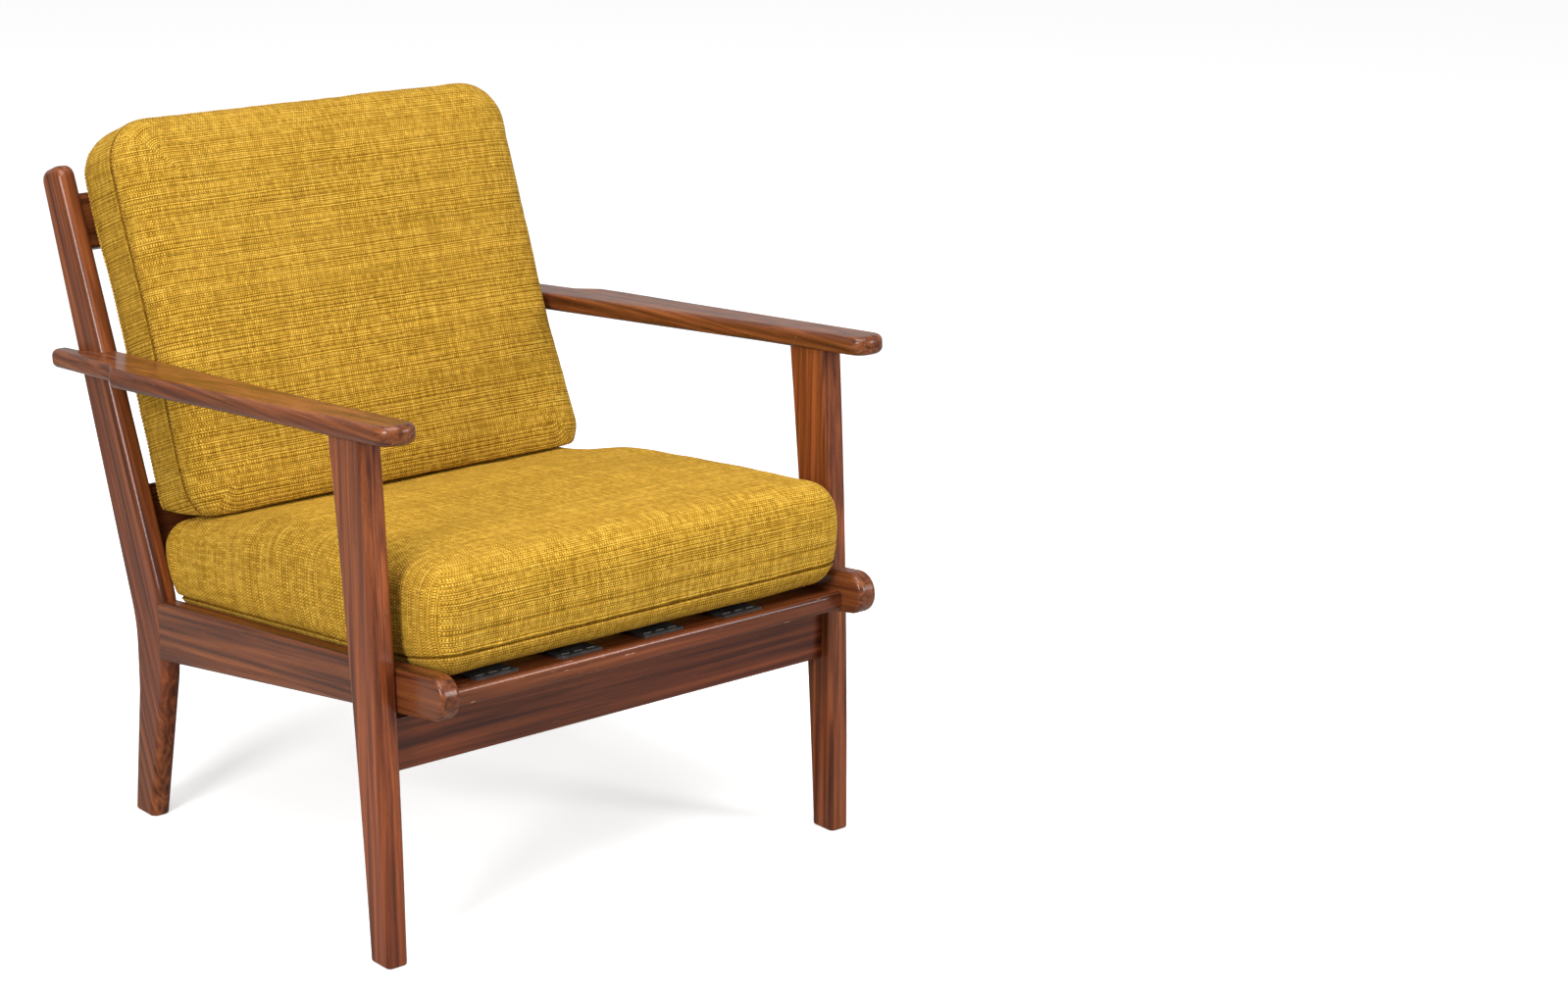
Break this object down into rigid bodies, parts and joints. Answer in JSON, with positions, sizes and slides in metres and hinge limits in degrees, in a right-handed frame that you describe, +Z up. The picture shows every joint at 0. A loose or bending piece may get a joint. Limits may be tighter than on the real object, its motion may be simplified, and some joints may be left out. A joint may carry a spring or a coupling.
{
  "type": "lounge armchair",
  "caption": "Low wooden lounge armchair with open sides, paddle armrests, webbed seat and loose square seat and back cushions.",
  "frame": {"origin": "on the floor, under the centre of the chair's bounding box", "axes": "+Z up, the sitter faces -Y, +X is to the sitter's left (the viewer's right from the front)"},
  "size_m": [0.74, 0.854, 0.8665],
  "materials": {
    "frame_wood": "satin varnished teak",
    "dowel_wood": "plain beech",
    "webbing": "matt ribbed",
    "staple_steel": "galvanised",
    "screw_steel": "zinc plated",
    "cushion_cloth": "slubbed tweed",
    "cushion_foam": "open cell foam"
  },
  "bodies": {
    "frame": {"rear_leg_left": "frame_wood", "rear_leg_right": "frame_wood", "front_leg_left": "frame_wood", "front_leg_right": "frame_wood", "armrest_left": "frame_wood", "armrest_right": "frame_wood", "side_rail_left": "frame_wood", "side_rail_right": "frame_wood", "front_slat": "frame_wood", "rear_slat": "frame_wood", "front_stretcher": "frame_wood", "top_back_rail": "frame_wood", "lower_back_rail": "frame_wood", "back_slat_1": "frame_wood", "back_slat_2": "frame_wood", "back_slat_3": "frame_wood", "back_slat_4": "frame_wood", "back_slat_5": "frame_wood", "seat_strap_1": "webbing", "seat_strap_2": "webbing", "seat_strap_3": "webbing", "seat_strap_4": "webbing", "side_rail_dowels": "dowel_wood", "armrest_dowels": "dowel_wood", "strap_staples": "staple_steel", "leg_screws": "screw_steel"},
    "seat_cushion": {"seat_cushion_cover": "cushion_cloth", "seat_cushion_core": "cushion_foam"},
    "back_cushion": {"back_cushion_cover": "cushion_cloth", "back_cushion_core": "cushion_foam"}
  },
  "joints": [
    {"name": "seat_cushion_pull_out", "type": "slide", "parent": "frame", "child": "seat_cushion", "axis": [0, -0.9941, 0.1083], "range_m": [0, 0.62]},
    {"name": "back_cushion_lift_off", "type": "slide", "parent": "frame", "child": "back_cushion", "axis": [0, 0.3714, 0.9285], "range_m": [0, 0.5]}
  ]
}
